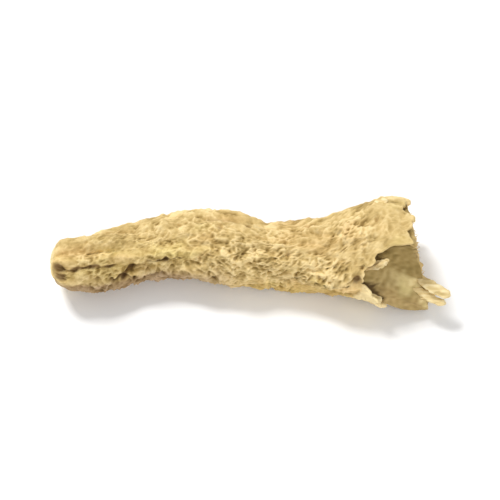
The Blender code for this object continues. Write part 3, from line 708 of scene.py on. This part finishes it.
def flesh_marks(along, past_edge, on_side, raised):
    """What the flesh's material reads: the rise, the torn face, the painted highlight along the ridge, how low, and
    the shade by the skin.
    """
    degrees = wrapped(ANGLES)
    below = through(HIGHLIGHT_LINE, along[..., 0]) - along[..., 2] + ripple(along, *HIGHLIGHT_WANDER)
    low = ease(*TAN_RAMP, below)
    # pale: a painted highlight along the ridge, dimmed by the tan below it and weaker to the left
    pale = ease(*HIGHLIGHT_RAMP, below) * (1 - TAN_DULLER * low)
    pale *= HIGHLIGHT_LEFT + HIGHLIGHT_MORE * ease(*HIGHLIGHT_RIGHT_RAMP, along[..., 0])
    shade = np.where(on_side, 1 - ease(0.0, SHADE_RUN, past_edge), 0.0)
    shade *= np.maximum(*(round_bump(degrees, *edge) for edge in EDGE_SHADES))
    at_left = LEFT_SHADE * on_side * ease(*LEFT_RAMP, along[..., 0]) * ease(*LEFT_LOW_RAMP, below)
    marks = {
        "rise": np.clip(raised, -1, 1),
        "face": np.where(on_side, 0.0, 1.0),
        "pale": np.where(on_side, pale, FACE_PALE),
        "low": low * on_side,
        "shade": np.maximum(shade, at_left),
    }
    hidden = np.zeros((HIDDEN_ROWS, AROUND))
    return {mark: np.concatenate([hidden + (mark == "shade"), rows]) for mark, rows in marks.items()}


def torn_flesh():
    """The flesh: rows hidden in the skin, along the bare flat, and over the torn face to its middle."""
    degrees = wrapped(ANGLES)
    edge = torn_edge(ANGLES)
    inset = through(FLESH_INSET, degrees)
    end = np.full(AROUND, TORN_X)
    for _ in range(RIM_TRIES):
        end = torn_x(flesh_point(end, ANGLES, inset)) - round_bump(degrees, *FLESH_BACK)
    rim = flesh_point(end, ANGLES, inset)
    bared = np.maximum(end - edge, 0.0)
    heart = rim.mean(axis=0)
    ring = np.arange(FLESH_ROWS)[:, None]
    on_flat = np.round(FLESH_ROWS * bared / (bared + np.linalg.norm(rim - heart, axis=-1)))
    on_side = ring <= on_flat
    along_x = edge + (end - edge) * np.minimum(1, ring / np.maximum(on_flat, 1))
    past_edge = along_x - edge
    rising = ease(0.0, RISING_RUN, past_edge)
    along_inset = np.where(on_flat > 0, HIDDEN_INSET + (inset - HIDDEN_INSET) * rising, inset)
    along = flesh_point(np.where(on_flat > 0, along_x, end), ANGLES + 0 * ring, along_inset)
    fibres = bare_fibres(along) * ease(0, FIBRES_IN, ring / np.maximum(on_flat, 1))
    depth, past, width, middle, run = SKIN_GAP
    gap = depth * bump(past_edge - past, width) * bump(np.degrees(ANGLES) - middle, run)
    along = along + (fibres - gap * (bared > GAP_BARED))[..., None] * BARE_OUT
    share = 1 - np.maximum(ring - on_flat, 0) / (FLESH_ROWS - on_flat)
    face, risen = torn_face(heart + (rim - heart) * share[..., None], share)
    rows = np.where(on_side[..., None], along, face)
    hidden_x = np.minimum(edge, end) - HIDDEN_RUN * (1 - np.arange(HIDDEN_ROWS)[:, None] / HIDDEN_ROWS)
    hidden_inset = np.maximum(inset, HIDDEN_INSET * (bared > HIDDEN_BARED))
    hidden = flesh_point(hidden_x, ANGLES + 0 * hidden_x, hidden_inset)
    rows = lay_flat(np.concatenate([hidden, rows]))
    poles = axis_point(hidden_x.min() - HIDDEN_END), rows[-1].mean(axis=0)
    raised = np.where(on_side, fibres / FIBRE_RISE, risen / FACE_RISE)
    return closed_tube("torn_flesh", rows, *poles, flesh_marks(along, past_edge, on_side, raised))


# Strips of skin and fibre at the torn end: root, middle, tip, half width, thickness, how pale, how ragged
STRIPS = {
    "skin_tongue": ((7.5, -2.70, 2.45), (8.3, -3.26, 2.25), (9.05, -3.50, 1.98), 0.46, 0.15, 1.0, 1.0),
    "upper_splinter": ((11.2, -1.45, 2.75), (12.6, -2.55, 2.62), (13.9, -3.22, 2.35), 0.48, 0.21, 1.0, 1.0),
    "lower_splinter": ((10.9, -1.90, 2.40), (12.3, -3.00, 2.05), (13.6, -3.60, 1.95), 0.36, 0.18, 1.0, 1.0),
    "rolled_scrap": ((7.85, -2.36, 4.40), (8.75, -2.10, 4.58), (9.5, -1.80, 4.86), 0.26, 0.19, 0.35, 2.4),
    "rim_chip": ((8.3, 1.90, 4.95), (8.9, 2.50, 5.40), (9.45, 2.95, 5.70), 0.42, 0.22, 1.0, 1.0),
}
# Points round and rows along each, the first seed and the step to the next
STRIP_AROUND, STRIP_ROWS, STRIP_SEED, SEED_STEP = 28, 70, 200, 10
# Width at the root, what is added, over what share of the length, and how much the tip narrows
ROOT_WIDTH, ROOT_GAIN, ROOT_RUN, TIP_NARROWER = 0.5, 0.5, 0.5, 0.25
# Where the tip's rounding would close, and its length
TIP_CLOSED, TIP_ROUNDING = 1.005, 0.12
STRIP_CURL = 0.12
# Frayed sides: how squeezed along X, height, width. The height at which they are fully pale
FRAYS, FRAY_RISE = ((0.35, 0.030, 0.34), (0.3, 0.012, 0.13)), 0.05


def torn_strip(name, root, middle, tip, half_width, thickness, pale, rough, seed):
    """A flat strip along a bent line that narrows a little to a ragged tip, with its edges curled up."""
    root, middle, tip = (np.array(place) for place in (root, middle, tip))
    share = np.linspace(0, 1, STRIP_ROWS)[:, None, None]
    turn = (np.arange(STRIP_AROUND) * FULL_TURN / STRIP_AROUND)[None, :, None]
    control = 2 * middle - (root + tip) / 2
    centre = root * (1 - share) ** 2 + 2 * control * share * (1 - share) + tip * share**2
    line = tip - root
    side = np.cross(line, (0, 0, 1))
    side /= np.linalg.norm(side)
    top = np.cross(side, line) / np.linalg.norm(line)
    wide = (ROOT_WIDTH + ROOT_GAIN * ease(0, ROOT_RUN, share)) * (1 - TIP_NARROWER * share**2)
    taper = wide * np.sqrt(np.clip((TIP_CLOSED - share) / TIP_ROUNDING, 0, 1))
    flat = np.cos(turn) * half_width * taper
    curl = STRIP_CURL * flat**2 / half_width
    body = centre + flat * side + (curl + thickness * np.sin(turn) * taper) * top
    ragged = sum(ripple(body * [squeeze, 1, 1], *fray, seed + n) for n, (squeeze, *fray) in enumerate(FRAYS))
    spread = (np.cos(turn) * side + np.sin(turn) * top) * taper
    body = body + rough * ragged[..., None] * spread
    marks = {
        "rise": np.clip(ragged / FRAY_RISE, -1, 1),
        # Painted shade on the strip's underside
        "underside_shade": np.clip(-np.sin(turn[..., 0]), 0, 1) + 0 * ragged,
        "tip": pale * share[..., 0] + 0 * ragged,
    }
    return closed_tube(name, body, body[0].mean(axis=0), body[-1].mean(axis=0), marks)


# Broken fibre ends that stand out of the torn face: how many, seed, points round and rows along each
FIBRES, FIBRE_SEED, FIBRE_AROUND, FIBRE_ROWS = 150, 44, 5, 6
FIBRE_LENGTHS, FIBRE_RADII = (0.10, 0.50), (0.025, 0.055)
# Their angles, the squares of their shares of the radius, and how deep they start
FIBRE_ANGLES, FIBRE_SPREAD, FIBRE_ROOT = np.radians((80, 330)), (0.02, 0.68), 0.45
# How far they lean, bend and thin out
FIBRE_LEAN, FIBRE_BEND, FIBRE_THINNER = 0.22, 0.5, 0.6


def broken_fibres():
    """Thin tapered hairs that start inside the torn face and bend a little on the way out."""
    draw = np.random.default_rng(FIBRE_SEED)
    across, up, half_width, half_height = section(TORN_X)
    angle = draw.uniform(*FIBRE_ANGLES, FIBRES)
    reach = np.sqrt(draw.uniform(*FIBRE_SPREAD, FIBRES))
    start_y = across - reach * half_width * np.cos(angle)
    start = np.stack([0 * angle, start_y, up + reach * half_height * np.sin(angle)], axis=-1)
    start[:, 0] = torn_x(start) - FIBRE_ROOT
    length = FIBRE_ROOT + draw.uniform(*FIBRE_LENGTHS, FIBRES) - FLESH_RECESS
    lean = draw.normal(0, FIBRE_LEAN, (FIBRES, 2))
    radius = draw.uniform(*FIBRE_RADII, FIBRES)
    share = np.linspace(0, 1, FIBRE_ROWS)[None, :, None]
    turn = np.arange(FIBRE_AROUND) * FULL_TURN / FIBRE_AROUND
    run = np.stack([np.ones(FIBRES), lean[:, 0], lean[:, 1]], axis=-1)[:, None, :]
    centre = start[:, None, :] + run * (share * length[:, None, None])
    centre[..., 1:] += lean[:, None, ::-1] * (share**2) * FIBRE_BEND * length[:, None, None]
    ring = np.stack([0 * turn, np.cos(turn), np.sin(turn)], axis=-1)
    taper = radius[:, None, None, None] * (1 - FIBRE_THINNER * share[..., None] ** 2)
    points = (centre[:, :, None, :] + taper * ring).reshape(-1, 3)
    first = np.arange(FIBRE_ROWS * FIBRE_AROUND).reshape(FIBRE_ROWS, FIBRE_AROUND)
    after = np.roll(first, -1, axis=1)
    quads = np.stack([first[:-1], after[:-1], after[1:], first[1:]], axis=-1).reshape(-1, 4)
    offsets = (np.arange(FIBRES) * FIBRE_ROWS * FIBRE_AROUND)[:, None, None]
    faces = (quads + offsets).reshape(-1, 4).tolist()
    faces += (first[0][::-1] + offsets[:, 0]).tolist() + (first[-1] + offsets[:, 0]).tolist()
    return smooth_piece("broken_fibres", points, faces, {})


# Finishes, with colours as on a screen, from 0 to 255

SHINE, NOISE_ROUGHNESS = 0.28, 0.55
# Each one's name, roughness, grain, and rise: the mark's low and high, and how far the grain shifts it.
# Its ramps along the rise, each with the mark that mixes it in. Its tones, each with the mark or noise
# that brings it, from where to where and how much. Its bumps, of height and noise.
# Noises, as the grain, have scale, detail and squeeze
FINISHES = {
    "skin": (
        ("dry_ginger_skin", 0.80, (8000, 3.0, (0.6, 1, 1)), (-0.12, 0.20, 0.12)),
        # Along the rise, darker in the hollows of the nets and pits and paler on the ridge tops: partly the skin's
        # own tone, partly painted shade and painted highlight
        [(None, (0.08, (104, 80, 38)), (0.32, (160, 133, 76)), (0.58, (203, 175, 115)), (0.90, (240, 214, 156)))],
        [
            ((230, 3.0, (0.5, 1, 1)), 0.50, 0.70, 0.45, (250, 222, 196), "MULTIPLY"),
            ((330, 3.0, (0.5, 1, 1)), 0.50, 0.70, 0.60, (232, 236, 186), "MULTIPLY"),
            ((1100, 3.0, (0.5, 1, 1)), 0.52, 0.72, 0.45, (212, 204, 180), "MULTIPLY"),
            ((1100, 3.0, (0.6, 1, 1)), 0.58, 0.74, 0.45, (242, 222, 170)),
            # Dark brown where low: painted shade in the cracks, pits, crease and round scar, and the brown patch
            ("low", 0.25, 1.0, 0.85, (104, 74, 38)),
            # Painted shade, pinkish brown, on the lip low on the front that faces down
            ("lip_shade", 0.0, 1.0, 0.9, (192, 182, 198), "MULTIPLY"),
            ("edge", 0.5, 1.0, 0.60, (236, 210, 150)),
            ("pale", 0.2, 0.9, 0.65, (252, 232, 180)),
        ],
        [(0.00006, 4800, 4.0, (0.6, 1, 1)), (0.00002, 15000, 3.0)],
    ),
    "flesh": (
        ("torn_ginger_flesh", 0.86, (2600, 4.0, (0.35, 1, 0.8)), (-1.6, 1.6, 0.35)),
        [
            (None, (0.1, (134, 112, 62)), (0.5, (156, 132, 80)), (0.9, (172, 148, 96))),
            # The painted highlight along the bare flat's ridge, in pale straw
            ("pale", (0.1, (192, 168, 112)), (0.5, (216, 194, 138)), (0.9, (234, 214, 160))),
            ("low", (0.1, (152, 126, 78)), (0.5, (178, 152, 100)), (0.9, (198, 172, 120))),
            ("face", (0.1, (166, 134, 82)), (0.5, (208, 178, 120)), (0.9, (240, 216, 160))),
        ],
        [((600, 3.0), 0.45, 0.70, 0.45, (214, 216, 186), "MULTIPLY"), ("shade", 0.2, 0.9, 0.85, (66, 46, 20))],
        [(0.00004, 5000, 4.0, (0.5, 1, 0.9)), (0.000015, 16000, 2.0)],
    ),
    "splinter": (
        ("pale_splinter", 0.80, (3600, 4.0, (0.22, 1, 1)), (-2.0, 2.0, 0.4)),
        [(None, (0.1, (190, 164, 106)), (0.45, (228, 204, 148)), (0.8, (246, 228, 180)))],
        # Painted shade, green-olive, on the strips' undersides
        [("underside_shade", 0.1, 0.8, 0.6, (200, 204, 150), "MULTIPLY"), ("tip", 0.45, 0.05, 0.5, (176, 146, 96))],
        [(0.00004, 5200, 4.0, (0.3, 1, 1)), (0.000015, 16000, 2.0)],
    ),
    "fibre": (("pale_fibre", 0.8, (2500, 2.0), ()), [(None, (0.3, (190, 158, 100)), (0.7, (236, 212, 156)))]),
    "floor": (("pale_floor", 0.9, (40, 2.0), ()), [(None, (0.0, (248, 248, 248)), (1.0, (252, 252, 252)))]),
}


def shade(red, green, blue):
    """A screen colour as the linear colour that a shader takes."""
    value = np.array([red, green, blue]) / 255
    linear = np.where(value < 0.04045, value / 12.92, ((value + 0.055) / 1.055) ** 2.4)
    return (*(float(v) for v in linear), 1.0)


class Finish:
    """A material being wired: each method adds nodes and gives their output."""

    def __init__(self, name, roughness):
        self.material = bpy.data.materials.new(name)
        self.material.use_nodes = True
        self.tree = self.material.node_tree
        self.shader = self.tree.nodes["Principled BSDF"]
        self.shader.inputs["Roughness"].default_value = roughness
        self.shader.inputs["Specular IOR Level"].default_value = SHINE
        self.place = self.tree.nodes.new("ShaderNodeTexCoord").outputs["Object"]

    def feed(self, socket, value):
        if isinstance(value, bpy.types.NodeSocket):
            self.tree.links.new(value, socket)
        else:
            socket.default_value = value

    def add(self, kind, inputs, **settings):
        """A node with its settings, and its inputs fed by number or name."""
        made = self.tree.nodes.new(kind)
        for setting, value in settings.items():
            setattr(made, setting, value)
        for socket, value in inputs.items():
            self.feed(made.inputs[socket], value)
        return made

    def noise(self, scale, detail, squeeze=(1, 1, 1)):
        """Noise in the piece's own place, longer along an axis where its squeeze is below 1."""
        place = self.add("ShaderNodeMapping", {"Vector": self.place, "Scale": squeeze}).outputs[0]
        inputs = {"Vector": place, "Scale": scale, "Detail": detail, "Roughness": NOISE_ROUGHNESS}
        return self.add("ShaderNodeTexNoise", inputs).outputs["Fac"]

    def mark(self, name):
        return self.add("ShaderNodeAttribute", {}, attribute_name=name).outputs["Fac"]

    def spread(self, *value_and_ranges):
        """A value moved from one range to another: value, low, high, and what they become."""
        return self.add("ShaderNodeMapRange", dict(enumerate(value_and_ranges))).outputs[0]

    def ramp(self, value, *stops):
        made = self.add("ShaderNodeValToRGB", {0: value})
        while len(made.color_ramp.elements) < len(stops):
            made.color_ramp.elements.new(0.5)
        for element, (place, colour) in zip(made.color_ramp.elements, stops):
            element.position, element.color = place, shade(*colour)
        return made.outputs["Color"]

    def mix(self, share, one, two, blend="MIX"):
        return self.add("ShaderNodeMix", {0: share, 6: one, 7: two}, data_type="RGBA", blend_type=blend).outputs[2]

    def bumps(self, layers):
        """Noises as bumps, one on another."""
        below = {}
        for height, *noise in layers:
            made = self.add("ShaderNodeBump", {"Height": self.noise(*noise), "Distance": height, **below})
            below = {"Normal": made.outputs["Normal"]}
            self.feed(self.shader.inputs["Normal"], made.outputs["Normal"])


def material(basics, ramps, tones=(), bumps=()):
    """A material made from its tables."""
    name, roughness, grain, rise = basics
    finish = Finish(name, roughness)
    value = finish.noise(*grain)
    if rise:
        low, high, shift = rise
        risen = finish.spread(finish.mark("rise"), low, high, 0, 1)
        value = finish.add("ShaderNodeMath", {0: risen, 1: finish.spread(value, 0, 1, -shift, shift)}).outputs[0]
    for mark, *stops in ramps:
        along = finish.ramp(value, *stops)
        colour = finish.mix(finish.mark(mark), colour, along) if mark else along
    for source, low, high, most, tone, *blend in tones:
        source = finish.mark(source) if isinstance(source, str) else finish.noise(*source)
        colour = finish.mix(finish.spread(source, low, high, 0, most), colour, shade(*tone), *blend)
    finish.bumps(bumps)
    finish.feed(finish.shader.inputs["Base Color"], colour)
    return finish.material


# Floor, light and camera

FLOOR_HALF, FLOOR_DROP = 1.5, 0.00002
# Each light's name, place, size and power
LIGHTS = (("key_light", (-0.16, 0.16, 0.34), 0.12, 1.2), ("fill_light", (0.16, -0.28, 0.24), 0.30, 0.55))
LIGHT_TARGET, SKY_STRENGTH = (0, 0, 0.002), 0.55
CAMERA_ELEVATION, CAMERA_LENS, SENSOR, CAMERA_CLIP = 55.0, 130.0, 36.0, (0.01, 10)
# The share of the picture's width that the finger takes
FRAME_SHARE = 0.80


def make_floor():
    mesh = bpy.data.meshes.new("floor")
    corners = [(x * FLOOR_HALF, y * FLOOR_HALF, -FLOOR_DROP) for x, y in ((-1, -1), (1, -1), (1, 1), (-1, 1))]
    mesh.from_pydata(corners, [], [(0, 1, 2, 3)])
    mesh.materials.append(material(*FINISHES["floor"]))
    floor = placed("floor", mesh)


def aim(thing, target):
    thing.rotation_euler = (Vector(target) - thing.location).to_track_quat("-Z", "Y").to_euler()


def make_light(name, place, size, power):
    lamp = bpy.data.lights.new(name, "AREA")
    lamp.shape, lamp.size, lamp.energy = "DISK", size, power
    thing = placed(name, lamp)
    thing.location = place
    aim(thing, LIGHT_TARGET)


def make_world():
    world = bpy.data.worlds.new("studio")
    world.use_nodes = True
    backdrop = world.node_tree.nodes["Background"]
    backdrop.inputs["Color"].default_value = (1.0, 1.0, 1.0, 1.0)
    backdrop.inputs["Strength"].default_value = SKY_STRENGTH
    bpy.context.scene.world = world
    bpy.context.scene.view_settings.view_transform = "Standard"


def make_camera():
    low, high = cad_box
    centre = (low + high) / 2
    camera = bpy.data.cameras.new("camera")
    camera.lens, camera.sensor_width = CAMERA_LENS, SENSOR
    camera.clip_start, camera.clip_end = CAMERA_CLIP
    away = (high.x - low.x) / FRAME_SHARE * CAMERA_LENS / SENSOR
    rise = np.radians(CAMERA_ELEVATION)
    thing = placed("camera", camera)
    thing.location = centre + Vector((0, -np.cos(rise) * away, np.sin(rise) * away))
    aim(thing, centre)
    bpy.context.scene.camera = thing


def finish_piece(piece, finish):
    piece.data.materials.append(finish)
    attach(piece, "root")


def dress():
    skin, flesh, splinter, fibre = (material(*FINISHES[name]) for name in ("skin", "flesh", "splinter", "fibre"))
    root = root_skin()
    finish_piece(root, skin)
    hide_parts("ginger_root")
    finish_piece(torn_flesh(), flesh)
    for n, (name, form) in enumerate(STRIPS.items()):
        finish_piece(torn_strip(name, *form, STRIP_SEED + SEED_STEP * n), splinter)
    finish_piece(broken_fibres(), fibre)


dress()
make_floor()
make_world()
for light in LIGHTS:
    make_light(*light)
make_camera()
